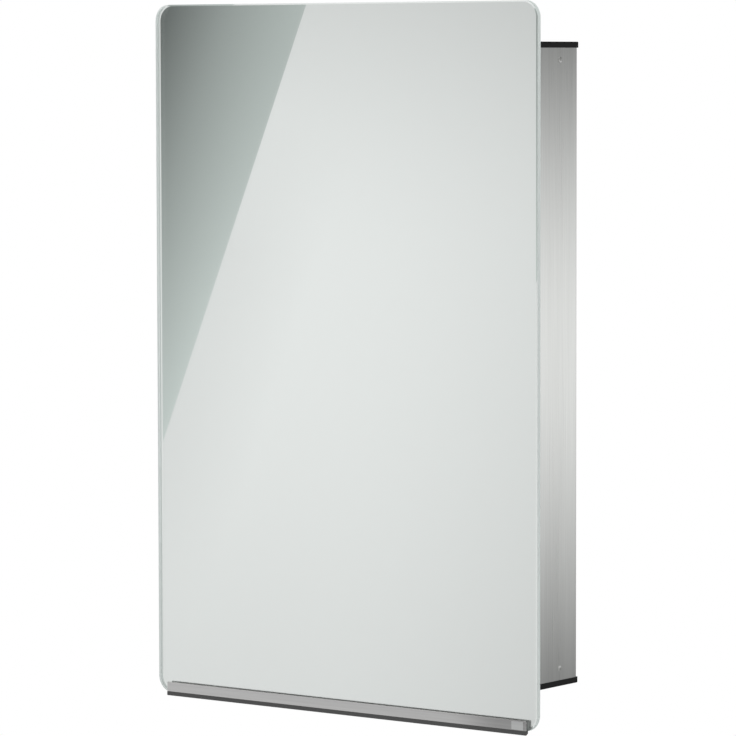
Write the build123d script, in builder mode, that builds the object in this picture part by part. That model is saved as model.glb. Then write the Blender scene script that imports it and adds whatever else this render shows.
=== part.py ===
"""Wall-hung medicine cabinet: a folded stainless body between two black end caps, closed by a
frameless mirror door that swings on a continuous hinge down its left side.

Millimetres. The origin is the centre of the back face, which lies on the wall at Y = 0. +X is to
the right, +Z is up, and the front faces -Y, so Plane.XZ.offset(d) lies d in front of the wall.
"""

from build123d import *
from math import atan2, degrees
import os

# ---- driving dimensions -----------------------------------------------------------------------
DOOR_WIDTH = 400.0
DOOR_TOP = 301.0  # of the mirror, above the middle of the body
DOOR_BOTTOM = -297.5  # the underside of the grip below the mirror
OVERHANG = 32.0  # how far the mirror stands out past each side of the body

BODY_WIDTH = DOOR_WIDTH - 2 * OVERHANG
BODY_HEIGHT = 536.0
BODY_DEPTH = 88.5

# ---- folded body --------------------------------------------------------------------------------
SHEET = 1.0
BACK_BEND = 4.0  # outside radius of the two bends at the wall
FRONT_BEND = 2.0
FRONT_RETURN = 16.0  # width of the flange turned in at the front of each side

# ---- end caps -------------------------------------------------------------------------------------
CAP_THICKNESS = 5.0
CAP_LIP = 0.4  # the cap stands this far proud of the steel sides
CAP_BACK_CORNER = 1.5
CAP_FRONT_CORNER = 2.0
CAP_EDGE_ROUND = 0.8
SKIRT_HEIGHT = 22.0
SKIRT_WALL = 3.0
SKIRT_CLEARANCE = 0.15
WRAP_HEIGHT = BODY_HEIGHT - 2 * CAP_THICKNESS

# ---- end-cap screws: 2.9 x 9.5 self-tapping, low head ------------------------------------------------
CAP_SCREW_RADIUS = 1.45
CAP_SCREW_LENGTH = 9.5
CAP_SCREW_HEAD_RADIUS = 2.4
CAP_SCREW_HEAD_HEIGHT = 0.7
CAP_SCREW_DEPTHS = (27.0, 66.0)  # in front of the wall
CAP_SCREW_FROM_END = 15.0
CAP_SCREW_SLOT = 0.7
CAP_BOSS_RADIUS = 4.0
CAP_BOSS_LENGTH = 7.0

# ---- wall fixing -------------------------------------------------------------------------------------
WALL_HOLE_SPACING_X = 250.0
WALL_HOLE_SPACING_Z = 420.0
WALL_HOLE_RADIUS = 3.25
WALL_BAR_LENGTH = 300.0
WALL_BAR_HEIGHT = 30.0
WALL_BAR_THICKNESS = 2.0

# ---- glass shelves ------------------------------------------------------------------------------------
SHELF_WIDTH = 330.0
SHELF_BACK = 4.0
SHELF_FRONT = 78.5
SHELF_THICKNESS = 5.0
SHELF_CORNER = 4.0
SHELF_TOPS = {"upper_shelf": 90.0, "lower_shelf": -86.0}
BRACKET_THICKNESS = 1.0
BRACKET_LEDGE = 12.0
BRACKET_BACK = 12.0
BRACKET_FRONT = 73.5
PAD_RADIUS = 4.0
PAD_THICKNESS = 1.0
PAD_DEPTHS = (22.0, 60.0)

# ---- door, measured forward from the wall ---------------------------------------------------------------
DOOR_GAP = 2.0
PAN_BACK = BODY_DEPTH + DOOR_GAP
PAN_DEPTH = 10.0
PAN_SHEET = 0.8
PAN_WIDTH = BODY_WIDTH
PAN_HEIGHT = BODY_HEIGHT - 12.0
PAN_BEND = 1.5
PAN_FLANGE = 12.0
PAN_FRONT = PAN_BACK + PAN_DEPTH
TAPE_THICKNESS = 0.7
TAPE_WIDTH = 10.0
FILM_THICKNESS = 0.3
FILM_INSET = 0.5
FILM_BACK = PAN_FRONT + TAPE_THICKNESS
GLASS_BACK = FILM_BACK + FILM_THICKNESS
GLASS_THICKNESS = 5.0
GLASS_FRONT = GLASS_BACK + GLASS_THICKNESS
GLASS_CORNER = 14.0
BEVEL_WIDTH = 1.2
BEVEL_DEPTH = 0.4
CORE_SIDE_GAP = 2.5  # room for the rivet tails beside the core

# ---- pull along the bottom edge of the mirror --------------------------------------------------------------
GRIP_DROP = 3.0  # the grip hangs this far below the glass
GLASS_BOTTOM = DOOR_BOTTOM + GRIP_DROP
GLASS_TOP = DOOR_TOP
PULL_LENGTH = DOOR_WIDTH - 20.0
RAIL_HEIGHT = 8.5
RAIL_THICKNESS = 1.0
RAIL_BOTTOM = GLASS_BOTTOM + 0.5
RAIL_EDGE = 0.35
GRIP_BACK_LIP = 12.0
GRIP_LIP_THICKNESS = 1.6
GRIP_HOOK = 3.5
GRIP_END_CUT = 6.0  # the ends of the grip slant back by this much from front to rear
FILM_CLEARANCE = 0.1
PLATE_WIDTH = 12.0
PLATE_HEIGHT = 7.0
PLATE_THICKNESS = 0.3
PLATE_FROM_END = 2.5

# ---- continuous hinge on the left side -----------------------------------------------------------------------
HINGE_LENGTH = 480.0
KNUCKLES = 16
KNUCKLE_GAP = 0.4
BARREL_RADIUS = 2.5
PIN_RADIUS = 1.25
PIN_CLEARANCE = 0.05
PIN_HEAD_RADIUS = 2.0
PIN_HEAD_HEIGHT = 1.0
LEAF_THICKNESS = 0.8
LEAF_NOTCH = 0.5  # free space between a leaf and the other leaf's barrels
BODY_LEAF_WIDTH = 14.0
DOOR_LEAF_WIDTH = 10.0
HINGE_X = -BODY_WIDTH / 2 - BARREL_RADIUS
HINGE_Y = -(BODY_DEPTH + DOOR_GAP / 2)
KNUCKLE_PITCH = HINGE_LENGTH / KNUCKLES

# ---- blind rivets through the leaves ----------------------------------------------------------------------------
RIVET_RADIUS = 1.6
RIVET_HEAD_RADIUS = 2.4
RIVET_HEAD_HEIGHT = 0.8
RIVET_TAIL_RADIUS = 2.1
RIVET_TAIL_LENGTH = 1.0
BODY_RIVET_DEPTH = 80.0
DOOR_RIVET_DEPTH = 95.9
RIVET_EVERY = 4  # knuckles

# ---- magnetic catch, bumpers and buffers ----------------------------------------------------------------------------
CATCH_X = BODY_WIDTH / 2 - FRONT_RETURN / 2
CATCH_SPACING_Z = 240.0
MAGNET_RADIUS = 4.0
MAGNET_LENGTH = 5.0
CUP_RADIUS = 5.5
CUP_CLEARANCE = 0.05
CUP_HEAD_RADIUS = 7.0
CUP_HEAD_HEIGHT = 0.8
CUP_LENGTH = 6.0
STRIKE_RADIUS = 8.0
STRIKE_THICKNESS = 0.8
BUMPER_RADIUS = 4.0
BUMPER_HEIGHT = 1.8
BUMPER_SPACING_Z = 450.0
BUFFER_RADIUS = 4.5
BUFFER_HEIGHT = 3.0
BUFFER_DEPTH = 58.0
BUFFER_SPACING_Z = 430.0

SIDES = (-1, 1)

# ---- places shared by several pieces ----------------------------------------------------------------------------------
side_inner_x = BODY_WIDTH / 2 - SHEET
glass_height = GLASS_TOP - GLASS_BOTTOM
glass_middle = (GLASS_TOP + GLASS_BOTTOM) / 2
cap_screw_z = BODY_HEIGHT / 2 - CAP_SCREW_FROM_END
cap_screw_yz = [(-depth, end * cap_screw_z) for depth in CAP_SCREW_DEPTHS for end in SIDES]
wall_hole_xz = [
    (side * WALL_HOLE_SPACING_X / 2, end * WALL_HOLE_SPACING_Z / 2)
    for side in SIDES
    for end in SIDES
]
catch_xz = [(CATCH_X, end * CATCH_SPACING_Z / 2) for end in SIDES]
knuckle_z = [(i + 0.5) * KNUCKLE_PITCH - HINGE_LENGTH / 2 for i in range(KNUCKLES)]
body_knuckle_z, door_knuckle_z = knuckle_z[0::2], knuckle_z[1::2]
body_rivet_yz = [(-BODY_RIVET_DEPTH, z) for z in knuckle_z[1::RIVET_EVERY]]
door_rivet_yz = [(-DOOR_RIVET_DEPTH, z) for z in knuckle_z[1::RIVET_EVERY]]


# ---- cabinet body --------------------------------------------------------------------------------------------------------
# One sheet makes both sides and the back, with a flange turned in along each front edge.
with BuildPart() as cabinet_wrap:
    with BuildSketch(Plane.XY.offset(-WRAP_HEIGHT / 2)) as wrap_profile:
        with Locations((0, -BODY_DEPTH / 2)):
            Rectangle(BODY_WIDTH, BODY_DEPTH)
        corners = wrap_profile.vertices().group_by(Axis.Y)
        fillet(corners[-1], BACK_BEND)
        corners = wrap_profile.vertices().group_by(Axis.Y)
        fillet(corners[0], FRONT_BEND)
        offset(wrap_profile.sketch, amount=-SHEET, mode=Mode.SUBTRACT)
        with Locations((0, -BODY_DEPTH)):
            Rectangle(BODY_WIDTH - 2 * FRONT_RETURN, 4 * SHEET, mode=Mode.SUBTRACT)
    extrude(amount=WRAP_HEIGHT)
    with BuildSketch(Plane.YZ):
        with Locations(*cap_screw_yz):
            Circle(CAP_SCREW_RADIUS + 0.15)
    extrude(amount=BODY_WIDTH, both=True, mode=Mode.SUBTRACT)
    with BuildSketch(Plane.XZ):
        with Locations(*wall_hole_xz):
            Circle(WALL_HOLE_RADIUS)
    extrude(amount=4 * SHEET, both=True, mode=Mode.SUBTRACT)
    with BuildSketch(Plane.XZ.offset(BODY_DEPTH)):
        with Locations(*catch_xz):
            Circle(CUP_RADIUS + CUP_CLEARANCE)
    extrude(amount=4 * SHEET, both=True, mode=Mode.SUBTRACT)
    with BuildSketch(Plane.YZ.offset(-BODY_WIDTH / 2)):
        with Locations(*body_rivet_yz):
            Circle(RIVET_RADIUS)
    extrude(amount=4 * SHEET, both=True, mode=Mode.SUBTRACT)


def end_cap(end):
    """A moulded cap: a plate over the end of the sheet, and a skirt inside its back and sides."""
    outer_z = end * BODY_HEIGHT / 2
    inner_z = end * WRAP_HEIGHT / 2
    with BuildPart() as cap:
        with BuildSketch(Plane.XY.offset(outer_z)) as outline:
            with Locations((0, -BODY_DEPTH / 2)):
                Rectangle(BODY_WIDTH + 2 * CAP_LIP, BODY_DEPTH)
            fillet(outline.vertices().group_by(Axis.Y)[-1], CAP_BACK_CORNER)
            fillet(outline.vertices().group_by(Axis.Y)[0], CAP_FRONT_CORNER)
        extrude(amount=-end * CAP_THICKNESS)
        outer_face = cap.faces().filter_by(Axis.Z).sort_by(Axis.Z)[-1 if end > 0 else 0]
        fillet(outer_face.edges(), CAP_EDGE_ROUND)
        with BuildSketch(Plane.XY.offset(inner_z)) as skirt:
            with Locations((0, -BODY_DEPTH / 2)):
                Rectangle(
                    BODY_WIDTH - 2 * (SHEET + SKIRT_CLEARANCE),
                    BODY_DEPTH - 2 * (SHEET + SKIRT_CLEARANCE),
                )
            fillet(skirt.vertices().group_by(Axis.Y)[-1], BACK_BEND - SHEET)
            fillet(skirt.vertices().group_by(Axis.Y)[0], FRONT_BEND - SHEET)
            offset(skirt.sketch, amount=-SKIRT_WALL, mode=Mode.SUBTRACT)
            with Locations((0, -BODY_DEPTH)):
                Rectangle(
                    BODY_WIDTH - 2 * FRONT_RETURN, 4 * SKIRT_WALL, mode=Mode.SUBTRACT
                )
        extrude(amount=-end * SKIRT_HEIGHT)
        for side in SIDES:
            with BuildSketch(Plane.YZ.offset(side * (side_inner_x - SKIRT_CLEARANCE))):
                with Locations(*[(-depth, end * cap_screw_z) for depth in CAP_SCREW_DEPTHS]):
                    Circle(CAP_BOSS_RADIUS)
            extrude(amount=-side * (SKIRT_WALL + CAP_BOSS_LENGTH))
            with BuildSketch(Plane.YZ.offset(side * BODY_WIDTH / 2)):
                with Locations(*[(-depth, end * cap_screw_z) for depth in CAP_SCREW_DEPTHS]):
                    Circle(CAP_SCREW_RADIUS)
            extrude(amount=-side * CAP_SCREW_LENGTH, mode=Mode.SUBTRACT)
    return cap


top_end_cap = end_cap(1)
bottom_end_cap = end_cap(-1)

# Eight screws through the sides hold the caps.
with BuildPart() as end_cap_screws:
    for side in SIDES:
        with BuildSketch(Plane.YZ.offset(side * BODY_WIDTH / 2)):
            with Locations(*cap_screw_yz):
                Circle(CAP_SCREW_RADIUS)
        extrude(amount=-side * CAP_SCREW_LENGTH)
        with BuildSketch(Plane.YZ.offset(side * BODY_WIDTH / 2)):
            with Locations(*cap_screw_yz):
                Circle(CAP_SCREW_HEAD_RADIUS)
        extrude(amount=side * CAP_SCREW_HEAD_HEIGHT, taper=20)
        with BuildSketch(Plane.YZ.offset(side * (BODY_WIDTH / 2 + CAP_SCREW_HEAD_HEIGHT))):
            with Locations(*cap_screw_yz):
                Rectangle(2 * CAP_SCREW_RADIUS, CAP_SCREW_SLOT)
                Rectangle(CAP_SCREW_SLOT, 2 * CAP_SCREW_RADIUS)
        extrude(amount=-side * CAP_SCREW_HEAD_HEIGHT / 2, mode=Mode.SUBTRACT)


def wall_bar(end):
    """A flat bar welded inside the back, which spreads the load of two wall screws."""
    with BuildPart() as bar:
        with BuildSketch(Plane.XZ.offset(SHEET)):
            with Locations((0, end * WALL_HOLE_SPACING_Z / 2)):
                RectangleRounded(WALL_BAR_LENGTH, WALL_BAR_HEIGHT, WALL_BAR_THICKNESS)
            with Locations(*wall_hole_xz):
                Circle(WALL_HOLE_RADIUS, mode=Mode.SUBTRACT)
        extrude(amount=WALL_BAR_THICKNESS)
    return bar


upper_wall_bar = wall_bar(1)
lower_wall_bar = wall_bar(-1)


def glass_shelf(top):
    """A plate of glass with rounded front corners and ground edges."""
    with BuildPart() as shelf:
        with BuildSketch(Plane.XY.offset(top - SHELF_THICKNESS)) as outline:
            with Locations((0, -(SHELF_BACK + SHELF_FRONT) / 2)):
                Rectangle(SHELF_WIDTH, SHELF_FRONT - SHELF_BACK)
            fillet(outline.vertices().group_by(Axis.Y)[0], SHELF_CORNER)
        extrude(amount=SHELF_THICKNESS)
        chamfer(shelf.faces().filter_by(Axis.Z).edges(), 0.5)
    return shelf


upper_shelf = glass_shelf(SHELF_TOPS["upper_shelf"])
lower_shelf = glass_shelf(SHELF_TOPS["lower_shelf"])

# Angles welded to the inner faces of the sides, and the soft pads that the glass lies on.
with BuildPart() as shelf_brackets:
    for top in SHELF_TOPS.values():
        ledge_top = top - SHELF_THICKNESS - PAD_THICKNESS
        for side in SIDES:
            with BuildSketch(Plane.XZ.offset(BRACKET_BACK)):
                with Locations((side * side_inner_x, ledge_top)):
                    Rectangle(
                        BRACKET_LEDGE,
                        BRACKET_THICKNESS,
                        align=(Align.MAX if side > 0 else Align.MIN, Align.MAX),
                    )
                    Rectangle(
                        BRACKET_THICKNESS,
                        BRACKET_LEDGE,
                        align=(Align.MAX if side > 0 else Align.MIN, Align.MAX),
                    )
            extrude(amount=BRACKET_FRONT - BRACKET_BACK)

with BuildPart() as shelf_pads:
    for top in SHELF_TOPS.values():
        with BuildSketch(Plane.XY.offset(top - SHELF_THICKNESS - PAD_THICKNESS)):
            with Locations(
                *[
                    (side * (side_inner_x - BRACKET_LEDGE / 2 - 1), -depth)
                    for side in SIDES
                    for depth in PAD_DEPTHS
                ]
            ):
                Circle(PAD_RADIUS)
        extrude(amount=PAD_THICKNESS)


# ---- continuous hinge ----------------------------------------------------------------------------------------------------
def hinge_leaf(own_knuckle_z, width, away, rivets_yz):
    """A leaf with a comb of barrels rolled round the pin. away is +1 towards the wall."""
    leaf_x = -BODY_WIDTH / 2 - LEAF_THICKNESS / 2
    solid_from = BARREL_RADIUS + LEAF_NOTCH
    with BuildPart() as leaf:
        with BuildSketch(Plane.XY.offset(-HINGE_LENGTH / 2)):
            with Locations((leaf_x, HINGE_Y + away * (solid_from + width) / 2)):
                Rectangle(LEAF_THICKNESS, width - solid_from)
        extrude(amount=HINGE_LENGTH)
        for z in own_knuckle_z:
            length = KNUCKLE_PITCH - KNUCKLE_GAP
            with BuildSketch(Plane.XY.offset(z - length / 2)):
                with Locations((leaf_x, HINGE_Y + away * solid_from / 2)):
                    Rectangle(LEAF_THICKNESS, solid_from)
                with Locations((HINGE_X, HINGE_Y)):
                    Circle(BARREL_RADIUS)
                    Circle(PIN_RADIUS + PIN_CLEARANCE, mode=Mode.SUBTRACT)
            extrude(amount=length)
        with BuildSketch(Plane.YZ.offset(leaf_x)):
            with Locations(*rivets_yz):
                Circle(RIVET_RADIUS)
        extrude(amount=LEAF_THICKNESS, both=True, mode=Mode.SUBTRACT)
    return leaf


hinge_body_leaf = hinge_leaf(body_knuckle_z, BODY_LEAF_WIDTH, 1, body_rivet_yz)
hinge_door_leaf = hinge_leaf(door_knuckle_z, DOOR_LEAF_WIDTH, -1, door_rivet_yz)

with BuildPart() as hinge_pin:
    with BuildSketch(Plane.XY.offset(-HINGE_LENGTH / 2)):
        with Locations((HINGE_X, HINGE_Y)):
            Circle(PIN_RADIUS)
    extrude(amount=HINGE_LENGTH)
    for end in SIDES:
        with BuildSketch(Plane.XY.offset(end * HINGE_LENGTH / 2)):
            with Locations((HINGE_X, HINGE_Y)):
                Circle(PIN_HEAD_RADIUS)
        extrude(amount=end * PIN_HEAD_HEIGHT, taper=25)


def hinge_rivets(rivets_yz, sheet):
    """Blind rivets through a leaf and the sheet behind it, with their tails inside."""
    outside_x = -BODY_WIDTH / 2 - LEAF_THICKNESS
    grip = LEAF_THICKNESS + sheet
    with BuildPart() as rivets:
        with BuildSketch(Plane.YZ.offset(outside_x)):
            with Locations(*rivets_yz):
                Circle(RIVET_RADIUS)
        extrude(amount=grip)
        with BuildSketch(Plane.YZ.offset(outside_x)):
            with Locations(*rivets_yz):
                Circle(RIVET_HEAD_RADIUS)
        extrude(amount=-RIVET_HEAD_HEIGHT, taper=45)
        with BuildSketch(Plane.YZ.offset(outside_x + grip)):
            with Locations(*rivets_yz):
                Circle(RIVET_TAIL_RADIUS)
        extrude(amount=RIVET_TAIL_LENGTH, taper=20)
    return rivets


hinge_body_rivets = hinge_rivets(body_rivet_yz, SHEET)
hinge_door_rivets = hinge_rivets(door_rivet_yz, PAN_SHEET)

# ---- magnetic catch, bumpers and buffers ---------------------------------------------------------------------------------
with BuildPart() as catch_cups:
    with BuildSketch(Plane.XZ.offset(BODY_DEPTH)):
        with Locations(*catch_xz):
            Circle(CUP_RADIUS)
    extrude(amount=-CUP_LENGTH)
    with BuildSketch(Plane.XZ.offset(BODY_DEPTH)):
        with Locations(*catch_xz):
            Circle(CUP_HEAD_RADIUS)
    extrude(amount=CUP_HEAD_HEIGHT)
    with BuildSketch(Plane.XZ.offset(BODY_DEPTH + CUP_HEAD_HEIGHT)):
        with Locations(*catch_xz):
            Circle(MAGNET_RADIUS)
    extrude(amount=-MAGNET_LENGTH, mode=Mode.SUBTRACT)

with BuildPart() as catch_magnets:
    with BuildSketch(Plane.XZ.offset(BODY_DEPTH + CUP_HEAD_HEIGHT)):
        with Locations(*catch_xz):
            Circle(MAGNET_RADIUS)
    extrude(amount=-MAGNET_LENGTH)

with BuildPart() as strike_discs:
    with BuildSketch(Plane.XZ.offset(PAN_BACK)):
        with Locations(*catch_xz):
            Circle(STRIKE_RADIUS)
    extrude(amount=-STRIKE_THICKNESS)
    chamfer(strike_discs.faces().filter_by(Axis.Y).sort_by(Axis.Y)[-2:].edges(), 0.25)

# Soft domes on the front flanges, which the door closes against.
with BuildPart() as door_bumpers:
    with BuildSketch(Plane.XZ.offset(BODY_DEPTH)):
        with Locations(
            *[(side * CATCH_X, end * BUMPER_SPACING_Z / 2) for side in SIDES for end in SIDES]
        ):
            Circle(BUMPER_RADIUS)
    extrude(amount=BUMPER_HEIGHT, taper=35)

# Soft studs on the left side, which stop the mirror's edge when the door is fully open.
with BuildPart() as opening_buffers:
    with BuildSketch(Plane.YZ.offset(-BODY_WIDTH / 2)):
        with Locations(*[(-BUFFER_DEPTH, end * BUFFER_SPACING_Z / 2) for end in SIDES]):
            Circle(BUFFER_RADIUS)
    extrude(amount=-BUFFER_HEIGHT, taper=15)

# ---- door -----------------------------------------------------------------------------------------------------------------
# A shallow folded tray, open towards the mirror inside a flange that carries the tape.
with BuildPart() as door_pan:
    with BuildSketch(Plane.XZ.offset(PAN_BACK)):
        RectangleRounded(PAN_WIDTH, PAN_HEIGHT, PAN_BEND)
    extrude(amount=PAN_DEPTH)
    fillet(door_pan.faces().sort_by(Axis.Y)[-1].edges(), PAN_BEND - PAN_SHEET)
    with BuildSketch(Plane.XZ.offset(PAN_BACK + PAN_SHEET)):
        RectangleRounded(
            PAN_WIDTH - 2 * PAN_SHEET, PAN_HEIGHT - 2 * PAN_SHEET, PAN_BEND - PAN_SHEET
        )
    extrude(amount=PAN_DEPTH - 2 * PAN_SHEET, mode=Mode.SUBTRACT)
    with BuildSketch(Plane.XZ.offset(PAN_FRONT)):
        Rectangle(PAN_WIDTH - 2 * PAN_FLANGE, PAN_HEIGHT - 2 * PAN_FLANGE)
    extrude(amount=-2 * PAN_SHEET, mode=Mode.SUBTRACT)
    with BuildSketch(Plane.YZ.offset(-PAN_WIDTH / 2)):
        with Locations(*door_rivet_yz):
            Circle(RIVET_RADIUS)
    extrude(amount=2 * PAN_SHEET, both=True, mode=Mode.SUBTRACT)

with BuildPart() as door_core:
    with BuildSketch(Plane.XZ.offset(PAN_BACK + PAN_SHEET)):
        Rectangle(
            PAN_WIDTH - 2 * (PAN_SHEET + CORE_SIDE_GAP),
            PAN_HEIGHT - 2 * (PAN_SHEET + CORE_SIDE_GAP),
        )
    extrude(amount=PAN_DEPTH - 2 * PAN_SHEET)

# Four strips of foam tape bond the mirror to the flange.
with BuildPart() as bonding_tape:
    upright_x = (PAN_WIDTH - PAN_FLANGE) / 2
    level_z = (PAN_HEIGHT - PAN_FLANGE) / 2
    with BuildSketch(Plane.XZ.offset(PAN_FRONT)):
        with Locations(*[(side * upright_x, 0) for side in SIDES]):
            Rectangle(TAPE_WIDTH, 2 * level_z - PAN_FLANGE)
        with Locations(*[(0, end * level_z) for end in SIDES]):
            Rectangle(2 * upright_x + TAPE_WIDTH, TAPE_WIDTH)
    extrude(amount=TAPE_THICKNESS)

# The silvering and the safety film that keeps the glass together.
with BuildPart() as mirror_film:
    with BuildSketch(Plane.XZ.offset(FILM_BACK)):
        with Locations((0, glass_middle)):
            RectangleRounded(
                DOOR_WIDTH - 2 * FILM_INSET,
                glass_height - 2 * FILM_INSET,
                GLASS_CORNER - FILM_INSET,
            )
    extrude(amount=FILM_THICKNESS)

# The glass, with a shallow bevel round its front.
with BuildPart() as mirror_glass:
    with BuildSketch(Plane.XZ.offset(GLASS_BACK)):
        with Locations((0, glass_middle)):
            RectangleRounded(DOOR_WIDTH, glass_height, GLASS_CORNER)
    extrude(amount=GLASS_THICKNESS - BEVEL_DEPTH)
    with BuildSketch(Plane.XZ.offset(GLASS_FRONT - BEVEL_DEPTH)):
        with Locations((0, glass_middle)):
            RectangleRounded(DOOR_WIDTH, glass_height, GLASS_CORNER)
    extrude(amount=BEVEL_DEPTH, taper=degrees(atan2(BEVEL_WIDTH, BEVEL_DEPTH)))

# A flat strip of steel along the bottom of the mirror.
with BuildPart() as handle_rail:
    with BuildSketch(Plane.XZ.offset(GLASS_FRONT)):
        with Locations((0, RAIL_BOTTOM)):
            Rectangle(PULL_LENGTH, RAIL_HEIGHT, align=(Align.CENTER, Align.MIN))
    extrude(amount=RAIL_THICKNESS)
    chamfer(handle_rail.faces().sort_by(Axis.Y)[0].edges(), RAIL_EDGE)

# The black profile cups the lower edge of the glass, with a hook behind it for the fingers.
with BuildPart() as handle_grip:
    front_y = -(GLASS_FRONT + RAIL_THICKNESS)
    lip_y = -(FILM_BACK - FILM_CLEARANCE)
    under_z = GLASS_BOTTOM - GRIP_DROP
    with BuildSketch(Plane.YZ.offset(-PULL_LENGTH / 2)) as grip_profile:
        with BuildLine():
            Polyline(
                (front_y, under_z),
                (front_y, RAIL_BOTTOM),
                (-GLASS_FRONT, RAIL_BOTTOM),
                (-GLASS_FRONT, GLASS_BOTTOM),
                (lip_y, GLASS_BOTTOM),
                (lip_y, GLASS_BOTTOM + GRIP_BACK_LIP),
                (lip_y + GRIP_LIP_THICKNESS, GLASS_BOTTOM + GRIP_BACK_LIP),
                (lip_y + GRIP_LIP_THICKNESS, GLASS_BOTTOM + GRIP_HOOK),
                (lip_y + GRIP_LIP_THICKNESS + GRIP_HOOK, GLASS_BOTTOM),
                (lip_y + GRIP_LIP_THICKNESS + GRIP_HOOK, under_z),
                close=True,
            )
        make_face()
        fillet(grip_profile.vertices().group_by(Axis.Y)[0], 0.8)
    extrude(amount=PULL_LENGTH)
    rear_y = lip_y + GRIP_LIP_THICKNESS + GRIP_HOOK
    with BuildSketch(Plane.XY.offset(under_z)):
        Polygon(
            (-PULL_LENGTH / 2, front_y),
            (PULL_LENGTH / 2, front_y),
            (PULL_LENGTH / 2 - GRIP_END_CUT, rear_y),
            (-PULL_LENGTH / 2 + GRIP_END_CUT, rear_y),
            align=None,
        )
    extrude(amount=GRIP_DROP + GRIP_BACK_LIP, mode=Mode.INTERSECT)

with BuildPart() as blank_plate:
    with BuildSketch(Plane.XZ.offset(GLASS_FRONT + RAIL_THICKNESS)):
        with Locations(
            (PULL_LENGTH / 2 - PLATE_FROM_END - PLATE_WIDTH / 2, RAIL_BOTTOM + RAIL_HEIGHT / 2)
        ):
            RectangleRounded(PLATE_WIDTH, PLATE_HEIGHT, 0.6)
    extrude(amount=PLATE_THICKNESS)

# ---- files ------------------------------------------------------------------------------------------------------------------
pieces = {
    "cabinet_wrap": cabinet_wrap,
    "top_end_cap": top_end_cap,
    "bottom_end_cap": bottom_end_cap,
    "end_cap_screws": end_cap_screws,
    "upper_wall_bar": upper_wall_bar,
    "lower_wall_bar": lower_wall_bar,
    "upper_shelf": upper_shelf,
    "lower_shelf": lower_shelf,
    "shelf_brackets": shelf_brackets,
    "shelf_pads": shelf_pads,
    "hinge_body_leaf": hinge_body_leaf,
    "hinge_door_leaf": hinge_door_leaf,
    "hinge_pin": hinge_pin,
    "hinge_body_rivets": hinge_body_rivets,
    "hinge_door_rivets": hinge_door_rivets,
    "catch_cups": catch_cups,
    "catch_magnets": catch_magnets,
    "strike_discs": strike_discs,
    "door_bumpers": door_bumpers,
    "opening_buffers": opening_buffers,
    "door_pan": door_pan,
    "door_core": door_core,
    "bonding_tape": bonding_tape,
    "mirror_film": mirror_film,
    "mirror_glass": mirror_glass,
    "handle_rail": handle_rail,
    "handle_grip": handle_grip,
    "blank_plate": blank_plate,
}

os.makedirs("parts", exist_ok=True)
for name, piece in pieces.items():
    piece.part.label = name
    export_step(piece.part, f"parts/{name}.step")
    print(name, len(piece.part.solids()), round(piece.part.volume, 1))
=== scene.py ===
"""The looks of a wall-hung mirror cabinet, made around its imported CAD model.

Metres, in the model's own frame: the wall is the plane Y = 0, the front faces -Y, +X is to the
right and +Z is up.
"""

import math

import bmesh
import bpy
from mathutils import Matrix, Vector

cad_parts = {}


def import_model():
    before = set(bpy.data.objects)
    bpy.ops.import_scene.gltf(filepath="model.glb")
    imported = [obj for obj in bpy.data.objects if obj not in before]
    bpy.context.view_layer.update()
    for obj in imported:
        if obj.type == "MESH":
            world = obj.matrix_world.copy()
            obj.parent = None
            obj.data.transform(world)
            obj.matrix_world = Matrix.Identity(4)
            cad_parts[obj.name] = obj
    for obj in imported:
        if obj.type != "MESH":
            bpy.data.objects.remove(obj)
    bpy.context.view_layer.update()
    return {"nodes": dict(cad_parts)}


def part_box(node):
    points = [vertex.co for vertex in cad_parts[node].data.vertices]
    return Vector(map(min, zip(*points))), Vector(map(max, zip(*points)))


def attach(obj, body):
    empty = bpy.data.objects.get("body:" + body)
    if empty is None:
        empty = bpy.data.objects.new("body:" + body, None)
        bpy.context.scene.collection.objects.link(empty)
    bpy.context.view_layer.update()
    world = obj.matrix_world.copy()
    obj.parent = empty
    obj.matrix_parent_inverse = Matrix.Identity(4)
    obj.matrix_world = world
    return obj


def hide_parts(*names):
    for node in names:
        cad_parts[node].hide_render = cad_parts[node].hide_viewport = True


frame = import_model()
NODES = frame["nodes"]

# ---- camera settings -----------------------------------------------------------------------------
CAMERA_PLACE = Vector((2.1518, -2.9292, 0.2507))
CAMERA_TURN = math.radians(36.95)  # to the object's right
CAMERA_DOWN = math.radians(4.11)
CAMERA_ROLL = math.radians(0.125)
CAMERA_LENS = 207.6
SENSOR = 36.0

# ---- studio settings -----------------------------------------------------------------------------
FLOOR_DROP = 1.0  # below the object's middle
FLOOR_RADIUS = 3.0
FLOOR_PAINT_RADIUS = 1.2  # from here out the grey paint fades into white
FLOOR_GREY = 0.86
DRUM_TOP = 1.3
FRONT_DRUM_RADIUS = 2.0
FRONT_DRUM_BOTTOM = -2.5
FRONT_DRUM_ARC = (185, 355)  # degrees from +X towards +Y
BACK_DRUM_RADIUS = 1.25
BACK_DRUM_BOTTOM = -1.0
BACK_DRUM_ARC = (-5, 185)
DRUM_TINT = (0.985, 1.0, 0.992)
ROOM_BELOW = 0.72  # how bright the even room is straight down
ROOM_ABOVE = 1.05

# The dark card. Its edge shows in the mirror as a slanted line, from a point on the mirror's top
# edge to a point on its left edge. On the card, X runs away from the line, into the dark part,
# and Y runs up along it.
LINE_TOP = 0.405  # of the mirror's width, from the left
LINE_FOOT = 0.355  # of the mirror's height, from the bottom
CARD_DISTANCE = 1.6  # from the mirror's middle
CARD_FOOT = (0.0, -0.39, 0.0)
CARD_HEAD = (0.0, 0.37, 0.0)
CARD_FAR_CORNER = (0.28, 0.27, 0.0)
CARD_TINT = (0.915, 1.0, 0.968)
CLOTH_WIDTH = 0.11
CLOTH_END = -0.54

MIRROR_FRONT_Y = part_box("mirror_glass")[0].y


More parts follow.
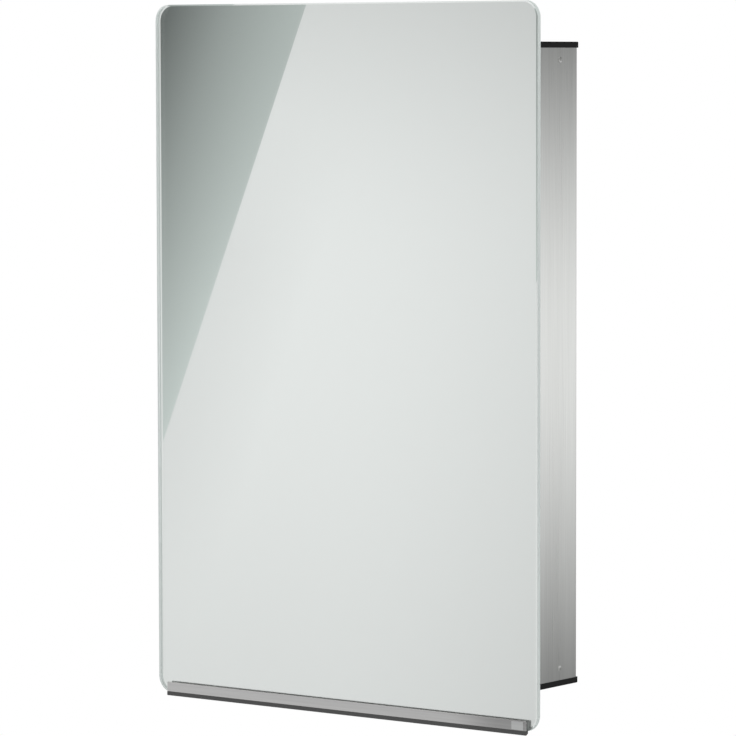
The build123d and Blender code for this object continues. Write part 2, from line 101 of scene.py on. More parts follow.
# ---- node helpers --------------------------------------------------------------------------------
class Nodes:
    """A thin wrapper round a node tree, so that a graph reads top to bottom."""

    def __init__(self, tree):
        self.tree = tree
        tree.nodes.clear()

    def add(self, kind, **values):
        """A new node. Each value sets the property or the input of that name."""
        node = self.tree.nodes.new(kind)
        for name, value in values.items():
            if hasattr(node, name):
                setattr(node, name, value)
            else:
                node.inputs[name.replace("_", " ")].default_value = value
        return node

    def link(self, source, target):
        self.tree.links.new(source, target)

    def math(self, operation, a, b=None):
        """operation on a, or on a and b, each of which is a number or a socket."""
        node = self.tree.nodes.new("ShaderNodeMath")
        node.operation = operation
        for socket, value in zip(node.inputs, (a, b)):
            if value is None:
                continue
            if isinstance(value, (int, float)):
                socket.default_value = value
            else:
                self.link(value, socket)
        return node.outputs[0]

    def remap(self, value, from_low, from_high, to_low, to_high, smooth=False):
        """value moved from one range to the other, and held at its ends."""
        node = self.tree.nodes.new("ShaderNodeMapRange")
        node.interpolation_type = "SMOOTHSTEP" if smooth else "LINEAR"
        self.link(value, node.inputs["Value"])
        for name, number in (
            ("From Min", from_low),
            ("From Max", from_high),
            ("To Min", to_low),
            ("To Max", to_high),
        ):
            node.inputs[name].default_value = number
        return node.outputs["Result"]

    def coordinates(self, scale):
        """Object coordinates, with each axis scaled."""
        place = self.add("ShaderNodeTexCoord")
        mapping = self.add("ShaderNodeMapping")
        mapping.inputs["Scale"].default_value = scale
        self.link(place.outputs["Object"], mapping.inputs["Vector"])
        return mapping.outputs["Vector"]

    def position(self):
        """The x, y and z of the shaded point in its object."""
        place = self.add("ShaderNodeTexCoord")
        split = self.add("ShaderNodeSeparateXYZ")
        self.link(place.outputs["Object"], split.inputs[0])
        return split.outputs["X"], split.outputs["Y"], split.outputs["Z"]

    def noise(self, scale, size, detail=2.0, roughness=0.5):
        """Noise in object space. scale stretches it: a small number makes long streaks."""
        node = self.add("ShaderNodeTexNoise", Scale=size, Detail=detail, Roughness=roughness)
        self.link(self.coordinates(scale), node.inputs["Vector"])
        return node.outputs["Fac"]

    def bump(self, height, strength, distance):
        """The normal of a surface with these small heights."""
        node = self.add("ShaderNodeBump", Strength=strength, Distance=distance)
        self.link(height, node.inputs["Height"])
        return node.outputs["Normal"]


def material(name, surface, volume=None):
    """surface(nodes) returns the shader socket for a new material."""
    made = bpy.data.materials.new(name)
    made.use_nodes = True
    nodes = Nodes(made.node_tree)
    shader = surface(nodes)
    out = nodes.add("ShaderNodeOutputMaterial")
    nodes.link(shader, out.inputs["Surface"])
    if volume:
        nodes.link(volume(nodes), out.inputs["Volume"])
    return made


def principled(nodes, **values):
    return nodes.add("ShaderNodeBsdfPrincipled", **values)


def rgb(r, g, b):
    return (r, g, b, 1.0)


# ---- materials -----------------------------------------------------------------------------------
def brushed_metal(name, colour, roughness, grain, tangent_axis, aniso=0.7, painted_shade=None):
    """Brushed metal. grain is the stretch of the noise, small along the brushing.

    The last argument is (start, end, tone): painted shade, the colour darkened more and more from x
    = start to x = end, down to tone, standing in for a darker reflection there.
    """

    def surface(nodes):
        streaks = nodes.noise(grain, 900.0, detail=4.0, roughness=0.7)
        broad = nodes.noise(grain, 90.0, detail=3.0)
        bsdf = principled(nodes, Metallic=1.0, Anisotropic=aniso)
        fine = nodes.math("MULTIPLY", streaks, 0.6)
        tone = nodes.math("ADD", fine, nodes.math("MULTIPLY", broad, 0.4))
        shade = nodes.remap(tone, 0.3, 0.7, 0.86, 1.08)
        # painted shade: a darker colour along x, standing in for a darker reflection
        if painted_shade:
            start, end, darkest_tone = painted_shade
            x, _, _ = nodes.position()
            painted_dimming = nodes.remap(x, start, end, 1.0, darkest_tone, smooth=True)
            shade = nodes.math("MULTIPLY", shade, painted_dimming)
        mix = nodes.add("ShaderNodeMix", data_type="RGBA", blend_type="MULTIPLY")
        mix.inputs["Factor"].default_value = 1.0
        mix.inputs[6].default_value = rgb(*colour)
        nodes.link(shade, mix.inputs[7])
        nodes.link(mix.outputs[2], bsdf.inputs["Base Color"])
        gloss = nodes.remap(tone, 0.3, 0.7, roughness * 0.85, roughness * 1.15)
        nodes.link(gloss, bsdf.inputs["Roughness"])
        nodes.link(nodes.bump(streaks, 0.25, 0.00002), bsdf.inputs["Normal"])
        tangent = nodes.add("ShaderNodeTangent", direction_type="RADIAL", axis=tangent_axis)
        nodes.link(tangent.outputs[0], bsdf.inputs["Tangent"])
        return bsdf.outputs[0]

    return material(name, surface)


def moulded_plastic(name, colour, roughness, grain=1800.0, strength=0.15, specular=0.5):
    """Anything with a fine even texture: moulded plastic, rubber, foam, tape or powder coat."""

    def surface(nodes):
        texture = nodes.noise(EVEN_GRAIN, grain, detail=3.0)
        bsdf = principled(nodes, IOR=1.5)
        bsdf.inputs["Base Color"].default_value = rgb(*colour)
        bsdf.inputs["Specular IOR Level"].default_value = specular
        gloss = nodes.remap(texture, 0.3, 0.7, roughness * 0.85, roughness * 1.2)
        nodes.link(gloss, bsdf.inputs["Roughness"])
        nodes.link(nodes.bump(texture, strength, 0.0001), bsdf.inputs["Normal"])
        return bsdf.outputs[0]

    return material(name, surface)


def green_depth(nodes):
    """What makes glass darker and greener the further light goes through it."""
    node = nodes.add("ShaderNodeVolumeAbsorption", Density=6.0)
    node.inputs["Color"].default_value = rgb(0.55, 0.86, 0.74)
    return node.outputs[0]


def milky_rubber(name, colour):
    """Clear silicone: part of the light goes through it, softened."""

    def surface(nodes):
        texture = nodes.noise(EVEN_GRAIN, 1200.0, detail=3.0)
        bsdf = principled(nodes, IOR=1.41)
        bsdf.inputs["Base Color"].default_value = rgb(*colour)
        bsdf.inputs["Transmission Weight"].default_value = 0.6
        nodes.link(nodes.remap(texture, 0.3, 0.7, 0.25, 0.38), bsdf.inputs["Roughness"])
        nodes.link(nodes.bump(texture, 0.1, 0.0001), bsdf.inputs["Normal"])
        return bsdf.outputs[0]

    return material(name, surface)


def clear_glass(name, volume=None):
    """Polished clear glass."""

    def surface(nodes):
        bsdf = principled(nodes, Roughness=0.0, IOR=1.52)
        bsdf.inputs["Base Color"].default_value = rgb(1, 1, 1)
        bsdf.inputs["Transmission Weight"].default_value = 1.0
        return bsdf.outputs[0]

    return material(name, surface, volume)


def ground_glass(name, colour):
    """The ground edge of a pane: frosted, so that half of the light goes through, scattered."""

    def surface(nodes):
        texture = nodes.noise(EVEN_GRAIN, 1500.0, detail=3.0)
        normal = nodes.bump(texture, 0.15, 0.0001)
        face = nodes.add("ShaderNodeBsdfDiffuse")
        through = nodes.add("ShaderNodeBsdfTranslucent")
        for shader in (face, through):
            shader.inputs["Color"].default_value = rgb(*colour)
            nodes.link(normal, shader.inputs["Normal"])
        mix = nodes.add("ShaderNodeMixShader")
        mix.inputs[0].default_value = 0.5
        nodes.link(face.outputs[0], mix.inputs[1])
        nodes.link(through.outputs[0], mix.inputs[2])
        return mix.outputs[0]

    return material(name, surface)


def plain_silver(name):
    """The silver layer of a mirror."""

    def surface(nodes):
        bsdf = principled(nodes, Metallic=1.0, Roughness=0.0)
        bsdf.inputs["Base Color"].default_value = rgb(0.884, 0.902, 0.893)
        return bsdf.outputs[0]

    return material(name, surface)


VERTICAL_GRAIN = (1.0, 1.0, 0.01)
LEVEL_GRAIN = (0.01, 1.0, 1.0)
EVEN_GRAIN = (1.0, 1.0, 1.0)
# painted shade on the rail's right end: the colour falls to 0.66 from x = 0.11 to x = 0.165,
# standing in for a darker reflection
RAIL_PAINTED_SHADE = (0.11, 0.165, 0.66)

steel_side = brushed_metal("brushed_steel_side", (0.66, 0.66, 0.65), 0.30, VERTICAL_GRAIN, "Z")
steel_rail = brushed_metal(
    "brushed_steel_rail", (0.60, 0.59, 0.59), 0.36, LEVEL_GRAIN, "X", aniso=0.0, painted_shade=RAIL_PAINTED_SHADE
)
steel_plain = brushed_metal("satin_steel", (0.60, 0.60, 0.60), 0.35, VERTICAL_GRAIN, "Z")
steel_screw = brushed_metal("screw_steel", (0.62, 0.62, 0.61), 0.45, EVEN_GRAIN, "X", aniso=0.0)
plate_steel = brushed_metal("light_plate", (0.58, 0.58, 0.58), 0.35, LEVEL_GRAIN, "X", aniso=0.0)
black_plastic = moulded_plastic("black_moulded_plastic", (0.007, 0.007, 0.007), 0.42, specular=0.14)
black_rubber = moulded_plastic("black_grip", (0.055, 0.055, 0.055), 0.6)
pan_paint = moulded_plastic("pale_powder_coat", (0.62, 0.63, 0.63), 0.5, 900.0, 0.2)
silicone = milky_rubber("clear_silicone", (0.86, 0.89, 0.89))
magnet_plate = brushed_metal("nickel", (0.66, 0.64, 0.60), 0.2, EVEN_GRAIN, "Z")
foam = moulded_plastic("white_foam", (0.8, 0.8, 0.78), 0.9, 2500.0, 0.5)
white_tape = moulded_plastic("white_tape", (0.95, 0.95, 0.94), 0.5, 2500.0, 0.1)
shelf_glass = clear_glass("float_glass", green_depth)
pane_glass = clear_glass("low_iron_glass")
silver = plain_silver("silvering")
ground_edge = ground_glass("ground_glass_edge", (0.90, 0.96, 0.94))
film_back = moulded_plastic("grey_safety_film", (0.30, 0.31, 0.32), 0.45, 700.0, 0.1)

LOOKS = {
    "cabinet_wrap": steel_side,
    "top_end_cap": black_plastic,
    "bottom_end_cap": black_plastic,
    "end_cap_screws": steel_screw,
    "upper_wall_bar": steel_plain,
    "lower_wall_bar": steel_plain,
    "upper_shelf": shelf_glass,
    "lower_shelf": shelf_glass,
    "shelf_brackets": steel_plain,
    "shelf_pads": silicone,
    "hinge_body_leaf": steel_plain,
    "hinge_door_leaf": steel_plain,
    "hinge_pin": steel_plain,
    "hinge_body_rivets": steel_plain,
    "hinge_door_rivets": steel_plain,
    "catch_cups": black_plastic,
    "catch_magnets": magnet_plate,
    "strike_discs": magnet_plate,
    "door_bumpers": silicone,
    "opening_buffers": silicone,
    "door_pan": pan_paint,
    "door_core": foam,
    "bonding_tape": foam,
    "handle_rail": steel_rail,
    "handle_grip": black_rubber,
    "blank_plate": plate_steel,
}
for name, look in LOOKS.items():
    data = NODES[name].data
    data.materials.clear()
    data.materials.append(look)


# ---- meshes --------------------------------------------------------------------------------------
FLAT_SHARP = math.radians(4)  # edges that turn by more than this stay crisp, on panes and strips
TURNED_SHARP = math.radians(35)  # and on screws and rivets


def new_object(name, mesh):
    made = bpy.data.objects.new(name, mesh)
    bpy.context.scene.collection.objects.link(made)
    return made


def rounded_outline(low, high, inset, radius, steps=16):
    """Points (x, z) round a rectangle with round corners, pulled in by inset."""
    radius = max(radius - inset, 0.0002)
    points = []
    for corner, (side_x, side_z) in enumerate(((1, 1), (-1, 1), (-1, -1), (1, -1))):
        centre_x = (high.x - inset - radius) if side_x > 0 else (low.x + inset + radius)
        centre_z = (high.z - inset - radius) if side_z > 0 else (low.z + inset + radius)
        for i in range(steps + 1):
            angle = math.radians(90 * (corner + i / steps))
            x = centre_x + radius * math.cos(angle)
            z = centre_z + radius * math.sin(angle)
            points.append((x, z))
    return points


def stacked_mesh(name, rings, materials, ring_material=None):
    """A closed mesh through rings of points, capped at both ends.

    ring_material gives the slot of the first cap, of each band between rings, and of the last cap.
    """
    mesh = bpy.data.meshes.new(name)
    count = len(rings[0])
    points = [p for ring in rings for p in ring]
    faces = [tuple(reversed(range(count)))]
    for r in range(len(rings) - 1):
        for i in range(count):
            j = (i + 1) % count
            faces.append((r * count + i, r * count + j, (r + 1) * count + j, (r + 1) * count + i))
    last = (len(rings) - 1) * count
    faces.append(tuple(range(last, last + count)))
    mesh.from_pydata(points, [], faces)
    for look in materials:
        mesh.materials.append(look)
    if ring_material:
        slots = [ring_material[0]]
        for r in range(len(rings) - 1):
            slots += [ring_material[r + 1]] * count
        slots.append(ring_material[-1])
        mesh.polygons.foreach_set("material_index", slots)
    shell = bmesh.new()
    shell.from_mesh(mesh)
    bmesh.ops.recalc_face_normals(shell, faces=shell.faces)
    shell.to_mesh(mesh)
    shell.free()
    mesh.shade_smooth()
    mesh.set_sharp_from_angle(angle=FLAT_SHARP)
    return mesh


GLASS_CORNER = 0.014
BEVEL_WIDTH = 0.0012
BEVEL_DEPTH = 0.0004
ARRIS = 0.0003
SILVER_INSET = 0.0005
SILVER_SINK = 0.00003  # into the glass, so that the two never share a plane
SILVER_THICKNESS = 0.0001


def mirror_pane():
    """The bevelled glass, with its edge ground flat and a fine arris at the back."""
    low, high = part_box("mirror_glass")
    front, back = low.y, high.y

    def ring(y, inset):
        return [(x, y, z) for x, z in rounded_outline(low, high, inset, GLASS_CORNER)]

    rings = [
        ring(front, BEVEL_WIDTH),
        ring(front + BEVEL_DEPTH, 0.0),
        ring(back - ARRIS, 0.0),
        ring(back, ARRIS),
    ]
    mesh = stacked_mesh("mirror_pane", rings, [pane_glass, ground_edge], [0, 0, 1, 1, 0])
    pane = new_object("mirror_pane", mesh)
    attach(pane, "door")
    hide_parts("mirror_glass")


def silvering():
    """The silver against the back of the glass, and the grey film that covers it."""
    low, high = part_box("mirror_film")
    radius = GLASS_CORNER - SILVER_INSET

    def ring(y, inset=0.0):
        return [(x, y, z) for x, z in rounded_outline(low, high, inset, radius)]

    rings = [ring(low.y - SILVER_SINK), ring(low.y + SILVER_THICKNESS), ring(high.y)]
    mesh = stacked_mesh("silvering", rings, [silver, film_back], [0, 1, 1, 1])
    layer = new_object("silvering", mesh)
    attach(layer, "door")
    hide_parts("mirror_film")


TAPE_THICKNESS = 0.00015
TAPE_GAP = 0.00003  # so that the tape never shares a plane with the glass
RAIL_CORNER = 0.0006
RAIL_ROUND_OVER = 0.00045
RAIL_BACK_EDGE = 0.0001  # the small chamfer at the back, and the tape's distance from the edge
ROUND_OVER_STEPS = 6


def pull_rail():
    """The satin strip: a flat bar with its edges rounded over, on a strip of pale tape."""
    low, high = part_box("handle_rail")
    back = high.y - TAPE_THICKNESS

    def ring(y, inset):
        return [(x, y, z) for x, z in rounded_outline(low, high, inset, RAIL_CORNER, 6)]

    rings = [ring(back, RAIL_BACK_EDGE), ring(back - RAIL_BACK_EDGE, 0.0)]
    for i in range(ROUND_OVER_STEPS + 1):
        angle = math.radians(90 * i / ROUND_OVER_STEPS)
        y = low.y + RAIL_ROUND_OVER * (1 - math.sin(angle))
        rings.append(ring(y, RAIL_ROUND_OVER * (1 - math.cos(angle))))
    rail = new_object("pull_rail", stacked_mesh("pull_rail", rings, [steel_rail]))
    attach(rail, "door")
    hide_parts("handle_rail")
    backing = [ring(back, RAIL_BACK_EDGE), ring(high.y - TAPE_GAP, RAIL_BACK_EDGE)]
    strip = new_object("rail_tape", stacked_mesh("rail_tape", backing, [white_tape]))
    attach(strip, "door")


def separate_solids(node):
    """The lowest and highest corner of each solid in a CAD node, sorted."""
    shell = bmesh.new()
    shell.from_mesh(NODES[node].data)
    bmesh.ops.remove_doubles(shell, verts=shell.verts, dist=1e-6)
    left = set(shell.verts)
    boxes = []
    while left:
        queue = [left.pop()]
        solid = []
        while queue:
            vertex = queue.pop()
            solid.append(vertex.co.copy())
            for edge in vertex.link_edges:
                other = edge.other_vert(vertex)
                if other in left:
                    left.remove(other)
                    queue.append(other)
        low = Vector([min(p[i] for p in solid) for i in range(3)])
        high = Vector([max(p[i] for p in solid) for i in range(3)])
        boxes.append((low, high))
    shell.free()
    return sorted(boxes, key=lambda pair: tuple(pair[0]))


def turned(profile, steps=32):
    """A closed mesh: (radius, height) points turned round Z. It starts and ends on the axis."""
    shell = bmesh.new()
    rings = []
    for radius, height in profile:
        if radius == 0:
            rings.append([shell.verts.new((0, 0, height))])
            continue
        ring = []
        for i in range(steps):
            angle = math.tau * i / steps
            x, y = radius * math.cos(angle), radius * math.sin(angle)
            ring.append(shell.verts.new((x, y, height)))
        rings.append(ring)
    for a, b in zip(rings, rings[1:]):
        for i in range(steps):
            j = (i + 1) % steps
            corners = [a[i % len(a)], a[j % len(a)], b[j % len(b)], b[i % len(b)]]
            shell.faces.new(list(dict.fromkeys(corners)))
    bmesh.ops.recalc_face_normals(shell, faces=shell.faces)
    mesh = bpy.data.meshes.new("turned")
    shell.to_mesh(mesh)
    shell.free()
    return mesh


def blade(width, thickness, top, bottom):
    """A tapered blade that cuts one arm of a cross recess."""
    points = []
    for height, half in ((top, width / 2), (bottom, width / 4)):
        for x, y in ((-half, -1), (half, -1), (half, 1), (-half, 1)):
            points.append((x, y * thickness / 2, height))
    faces = [(0, 1, 2, 3), (7, 6, 5, 4)]
    faces += [(i, i + 4, (i + 1) % 4 + 4, (i + 1) % 4) for i in range(4)]
    mesh = bpy.data.meshes.new("blade")
    mesh.from_pydata(points, [], faces)
    shell = bmesh.new()
    shell.from_mesh(mesh)
    bmesh.ops.recalc_face_normals(shell, faces=shell.faces)
    shell.to_mesh(mesh)
    shell.free()
    return mesh


def cut_away(mesh, cutter_mesh, turn):
    """mesh less cutter_mesh, which is first turned about Z."""
    target = new_object("cut_target", mesh)
    cutter = new_object("cutter", cutter_mesh)
    cutter.rotation_euler = (0, 0, turn)
    modifier = target.modifiers.new("cut", "BOOLEAN")
    modifier.operation = "DIFFERENCE"
    modifier.solver = "EXACT"
    modifier.object = cutter
    bpy.context.view_layer.update()
    graph = bpy.context.evaluated_depsgraph_get()
    result = bpy.data.meshes.new_from_object(target.evaluated_get(graph))
    bpy.data.objects.remove(target)
    bpy.data.objects.remove(cutter)
    return result


def repeated(name, master, places, look):
    """One object with a copy of master at each (point, direction); +Z of master goes that way."""
    shell = bmesh.new()
    for point, direction in places:
        copy = master.copy()
        turn = Vector(direction).to_track_quat("Z", "Y").to_matrix().to_4x4()
        copy.transform(Matrix.Translation(point) @ turn)
        shell.from_mesh(copy)
        bpy.data.meshes.remove(copy)
    mesh = bpy.data.meshes.new(name)
    shell.to_mesh(mesh)
    shell.free()
    mesh.materials.clear()
    mesh.materials.append(look)
    mesh.shade_smooth()
    mesh.set_sharp_from_angle(angle=TURNED_SHARP)
    return new_object(name, mesh)


HEAD_LIFT = 0.00002  # keeps the underside of a head off the sheet's own plane
SCREW_HEAD, SCREW_RISE = 0.0024, 0.0007  # the head's radius and height
SCREW_SHANK, SCREW_LENGTH, SCREW_POINT = 0.00145, 0.0095, 0.0015
RECESS_WIDTH, RECESS_ARM = 0.0024, 0.0005
RECESS_TURN = 0.5  # radians, so that no recess is square to the cabinet
DOME_STEPS = 8


def cap_screws():
    """Low-headed tapping screws with a cross recess, two at each end of each side."""
    profile = [(0, SCREW_RISE)]
    for i in range(1, DOME_STEPS + 1):
        angle = math.radians(90 * i / DOME_STEPS)
        height = SCREW_RISE * (0.25 + 0.75 * math.cos(angle))
        profile.append((SCREW_HEAD * math.sin(angle), height))
    profile += [(SCREW_HEAD, HEAD_LIFT), (SCREW_SHANK, HEAD_LIFT)]
    profile += [(SCREW_SHANK, SCREW_POINT - SCREW_LENGTH), (0, -SCREW_LENGTH)]
    master = turned(profile)
    for turn in (0, math.pi / 2):
        slot = blade(RECESS_WIDTH, RECESS_ARM, SCREW_RISE * 1.2, SCREW_RISE * 0.4)
        master = cut_away(master, slot, turn + RECESS_TURN)
    places = []
    for low, high in separate_solids("end_cap_screws"):
        middle = (low + high) / 2
        side = 1 if middle.x > 0 else -1
        outer = high.x if side > 0 else low.x
        places.append((Vector((outer - side * SCREW_RISE, middle.y, middle.z)), (side, 0, 0)))
    screws = repeated("cap_screws", master, places, steel_screw)
    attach(screws, "cabinet")
    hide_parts("end_cap_screws")


def hinge_rivets(name, node, body):
    """Blind rivets: a low dome with the broken end of the pulling pin in a dimple."""
    head, rise, shank, tail = 0.0024, 0.0008, 0.0016, 0.0021
    places = []
    for low, high in separate_solids(node):
        middle = (low + high) / 2
        places.append((Vector((low.x + rise, middle.y, middle.z)), (-1, 0, 0)))
        through = high.x - low.x - rise
    profile = [(0, 0.00062), (0.0006, 0.0006), (0.00075, 0.0003), (0.0009, 0.0003)]
    profile += [(0.00105, 0.00072), (0.0012, rise), (0.0016, 0.00074), (0.0020, 0.00052)]
    profile += [(0.0023, 0.00022), (head, HEAD_LIFT), (shank, HEAD_LIFT), (shank, 0.001 - through)]
    profile += [(tail, 0.0009 - through), (tail * 0.95, 0.0003 - through), (0, -through)]
    rivets = repeated(name, turned(profile), places, steel_plain)
    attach(rivets, body)
    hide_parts(node)


mirror_pane()
silvering()
pull_rail()
cap_screws()
hinge_rivets("rivets_on_body", "hinge_body_rivets", "cabinet")
hinge_rivets("rivets_on_door", "hinge_door_rivets", "door")


# ---- studio --------------------------------------------------------------------------------------
def emitter(name, brightness, colour):
    """A reflector for mirrors and metal; brightness(nodes) returns its strength.

    Scattered light goes through it, to and from the even room outside.
    """

    def surface(nodes):
        emission = nodes.add("ShaderNodeEmission")
        emission.inputs["Color"].default_value = rgb(*colour)
        nodes.link(brightness(nodes), emission.inputs["Strength"])
        clear = nodes.add("ShaderNodeBsdfTransparent")
        path = nodes.add("ShaderNodeLightPath")
        mix = nodes.add("ShaderNodeMixShader")
        nodes.link(path.outputs["Is Diffuse Ray"], mix.inputs[0])
        nodes.link(emission.outputs[0], mix.inputs[1])
        nodes.link(clear.outputs[0], mix.inputs[2])
        return mix.outputs[0]

    made = material(name, surface)
    made.cycles.emission_sampling = "NONE"  # met by rays that leave a surface, never aimed at
    return made


def only_reflected(reflector):
    """Seen in reflections and through glass; the camera, scattered light and shadows pass it by."""
    reflector.visible_camera = False
    reflector.visible_diffuse = False
    reflector.visible_shadow = False


def drum_part(name, radius, bottom, arc, brightness):
    """Part of an upright drum round the object, lit from within."""
    steps = 48
    start, end = arc
    mesh = bpy.data.meshes.new(name)
    points, faces = [], []
    for i in range(steps + 1):
        angle = math.radians(start + (end - start) * i / steps)
        x, y = radius * math.cos(angle), radius * math.sin(angle)
        points += [(x, y, bottom), (x, y, DRUM_TOP)]
    for i in range(steps):
        faces.append((2 * i, 2 * i + 1, 2 * i + 3, 2 * i + 2))
    mesh.from_pydata(points, [], faces)
    mesh.materials.append(emitter(name + "_light", brightness, DRUM_TINT))
    drum = new_object(name, mesh)
    only_reflected(drum)


def front_brightness(nodes):
    """A broad soft glow, brightest at mid height and dimmer towards the right."""
    x, _, height = nodes.position()
    below = nodes.remap(height, -1.0, -0.02, 0.80, 1.0, smooth=True)
    above = nodes.remap(height, -0.02, 0.8, 1.0, 0.55, smooth=True)
    right = nodes.remap(x, -1.2, -0.7, 0.885, 0.70, smooth=True)
    return nodes.math("MULTIPLY", nodes.math("MULTIPLY", below, above), right)


def back_brightness(nodes):
    """A level band of light, brighter at the sides than straight behind."""
    x, _, height = nodes.position()
    below = nodes.remap(height, -0.07, -0.56, 1.0, 0.1, smooth=True)
    above = nodes.remap(height, -0.04, 0.40, 1.0, 0.1, smooth=True)
    side = nodes.remap(nodes.math("ABSOLUTE", x), 0.0, 0.65, 0.5, 1.21, smooth=True)
    return nodes.math("MULTIPLY", nodes.math("MULTIPLY", below, above), side)


def floor_surface(nodes):
    """Pale grey under the object, and lost in the white further out."""
    place = nodes.add("ShaderNodeTexCoord")
    reach = nodes.add("ShaderNodeVectorMath", operation="LENGTH")
    nodes.link(place.outputs["Object"], reach.inputs[0])
    paint = nodes.add("ShaderNodeBsdfDiffuse")
    paint.inputs["Color"].default_value = rgb(FLOOR_GREY, FLOOR_GREY, FLOOR_GREY)
    white = nodes.add("ShaderNodeEmission", Strength=1.0)
    mix = nodes.add("ShaderNodeMixShader")
    fade = nodes.remap(
        reach.outputs["Value"], FLOOR_PAINT_RADIUS, FLOOR_RADIUS, 0.0, 1.0, smooth=True
    )
    nodes.link(fade, mix.inputs[0])
    nodes.link(paint.outputs[0], mix.inputs[1])
    nodes.link(white.outputs[0], mix.inputs[2])
    return mix.outputs[0]


def studio():
    """The floor, and the two reflectors round the object."""
    steps = 96
    mesh = bpy.data.meshes.new("floor")
    ring = []
    for i in range(steps):
        angle = math.tau * i / steps
        x, y = FLOOR_RADIUS * math.cos(angle), FLOOR_RADIUS * math.sin(angle)
        ring.append((x, y, -FLOOR_DROP))
    mesh.from_pydata(ring, [], [tuple(range(steps))])
    mesh.materials.append(material("pale_floor", floor_surface))
    floor = new_object("floor", mesh)
    floor.visible_glossy = False
    floor.visible_transmission = False
    front = (FRONT_DRUM_RADIUS, FRONT_DRUM_BOTTOM, FRONT_DRUM_ARC)
    back = (BACK_DRUM_RADIUS, BACK_DRUM_BOTTOM, BACK_DRUM_ARC)
    drum_part("front_drum", *front, front_brightness)
    drum_part("back_drum", *back, back_brightness)


def card_brightness(nodes):
    """Darker and darker away from the slanted line, and a little darker towards its top."""
    away, along, _ = nodes.position()
    fade = nodes.remap(away, 0.0, 0.158, 0.63, 0.175)
    near_edge = nodes.remap(away, 0.0, 0.09, 1.0, 0.0)
    near_top = nodes.remap(along, -0.1, 0.22, 0.0, 1.0)
    top_of_edge = nodes.remap(nodes.math("MULTIPLY", near_edge, near_top), 0.0, 1.0, 1.0, 0.87)
    lower_end = nodes.remap(along, -0.3, 0.3, 1.04, 0.95)
    return nodes.math("MULTIPLY", nodes.math("MULTIPLY", fade, top_of_edge), lower_end)


def thin_cloth(nodes):
    """Lets most of the light behind it through, least of all low down by the dark part."""
    away, along, _ = nodes.position()
    near_edge = nodes.remap(away, -CLOTH_WIDTH, 0.0, 0.0, 1.0)
    low_down = nodes.remap(along, -0.03, 0.15, 1.0, 0.0)
    fading = nodes.remap(along, CLOTH_END, -0.26, 0.0, 1.0, smooth=True)
    thick = nodes.math("MULTIPLY", near_edge, nodes.math("MULTIPLY", low_down, fading))
    clear = nodes.add("ShaderNodeBsdfTransparent")
    nodes.link(nodes.remap(thick, 0.0, 1.0, 1.0, 0.9), clear.inputs["Color"])
    return clear.outputs[0]


def dark_flag():
    """A darker card with thin cloth along its edge, reflected in the upper left of the mirror.

    The eye is the camera's own mirror image, behind the wall: what the camera sees in the mirror
    is what that eye would see straight through it.
    """
    eye = CAMERA_PLACE.copy()
    eye.y = 2 * MIRROR_FRONT_Y - eye.y
    low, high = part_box("mirror_glass")
    width, height = high.x - low.x, high.z - low.z
    top = Vector((low.x + LINE_TOP * width, MIRROR_FRONT_Y, high.z))
    side = Vector((low.x, MIRROR_FRONT_Y, low.z + LINE_FOOT * height))
    away = (Vector((0, MIRROR_FRONT_Y, 0)) - eye).normalized()
    plane_point = Vector((0, MIRROR_FRONT_Y, 0)) + away * CARD_DISTANCE

    def on_card(point):
        ray = point - eye
        return eye + ray * ((plane_point - eye).dot(away) / ray.dot(away))

    upper, lower = on_card(top), on_card(side)
    along = (upper - lower).normalized()
    across = away.cross(along).normalized()
    if across.dot(Vector((-1, 0, 0))) < 0:
        across.negate()
    middle = (upper + lower) / 2
    mesh = bpy.data.meshes.new("dark_flag")
    points = [(-CLOTH_WIDTH, CLOTH_END, 0), (0, CLOTH_END, 0)]
    points += [CARD_HEAD, (-CLOTH_WIDTH, CARD_HEAD[1], 0), CARD_FOOT, CARD_FAR_CORNER]
    mesh.from_pydata(points, [], [(0, 1, 4, 2, 3), (4, 5, 2)])
    mesh.materials.append(material("dark_flag_cloth", thin_cloth))
    mesh.materials.append(emitter("dark_flag_light", card_brightness, CARD_TINT))
    mesh.polygons[1].material_index = 1
    card = new_object("dark_flag", mesh)
    axes = Matrix((across, along, across.cross(along))).transposed()
    card.matrix_world = Matrix.Translation(middle) @ axes.to_4x4()
    only_reflected(card)


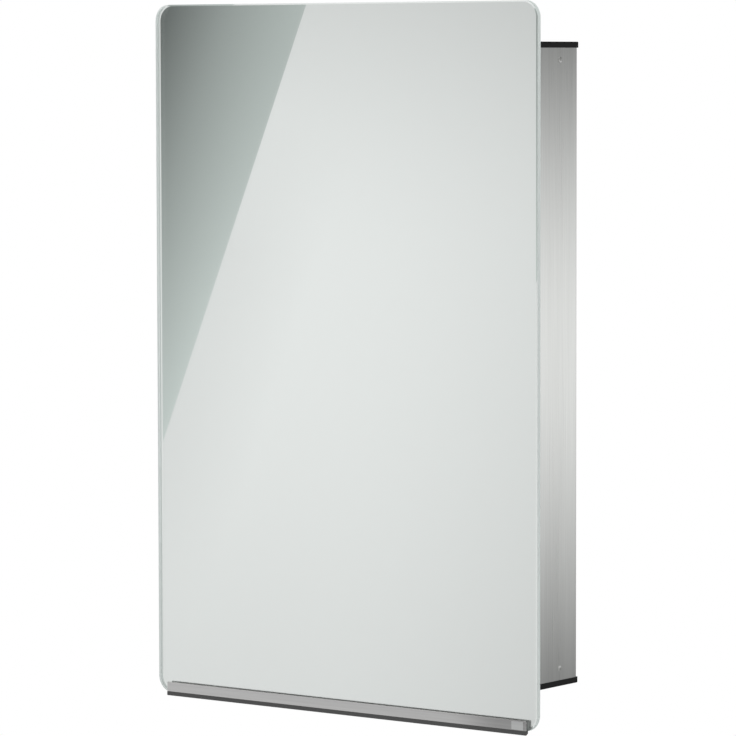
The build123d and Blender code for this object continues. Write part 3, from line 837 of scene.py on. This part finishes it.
def world():
    """White behind the object, and a soft pale room for everything that it lights."""
    made = bpy.data.worlds.new("studio_world")
    bpy.context.scene.world = made
    made.use_nodes = True
    nodes = Nodes(made.node_tree)
    path = nodes.add("ShaderNodeLightPath")
    way = nodes.add("ShaderNodeTexCoord")
    split = nodes.add("ShaderNodeSeparateXYZ")
    nodes.link(way.outputs["Generated"], split.inputs[0])
    room = nodes.add("ShaderNodeBackground")
    room.inputs["Color"].default_value = rgb(1.0, 1.0, 1.0)
    strength = nodes.remap(split.outputs["Z"], -1.0, 1.0, ROOM_BELOW, ROOM_ABOVE)
    nodes.link(strength, room.inputs["Strength"])
    backdrop = nodes.add("ShaderNodeBackground", Strength=1.0)
    backdrop.inputs["Color"].default_value = rgb(1.0, 1.0, 1.0)
    mix = nodes.add("ShaderNodeMixShader")
    nodes.link(path.outputs["Is Camera Ray"], mix.inputs[0])
    nodes.link(room.outputs[0], mix.inputs[1])
    nodes.link(backdrop.outputs[0], mix.inputs[2])
    out = nodes.add("ShaderNodeOutputWorld")
    nodes.link(mix.outputs[0], out.inputs["Surface"])


def camera():
    """A long lens from the right and slightly above."""
    data = bpy.data.cameras.new("camera")
    data.lens = CAMERA_LENS
    data.sensor_width = SENSOR
    data.clip_start, data.clip_end = 0.1, 100.0
    made = new_object("camera", data)
    ahead = math.cos(CAMERA_DOWN)
    forward = Vector(
        (-math.sin(CAMERA_TURN) * ahead, math.cos(CAMERA_TURN) * ahead, -math.sin(CAMERA_DOWN))
    )
    level = Vector((math.cos(CAMERA_TURN), math.sin(CAMERA_TURN), 0))
    up = level.cross(forward)
    right = math.cos(CAMERA_ROLL) * level - math.sin(CAMERA_ROLL) * up
    up = math.sin(CAMERA_ROLL) * level + math.cos(CAMERA_ROLL) * up
    axes = Matrix((right, up, -forward)).transposed()
    made.matrix_world = Matrix.Translation(CAMERA_PLACE) @ axes.to_4x4()
    bpy.context.scene.camera = made


camera()
studio()
dark_flag()
world()
scene = bpy.context.scene
scene.view_settings.view_transform = "Standard"
scene.view_settings.look = "None"
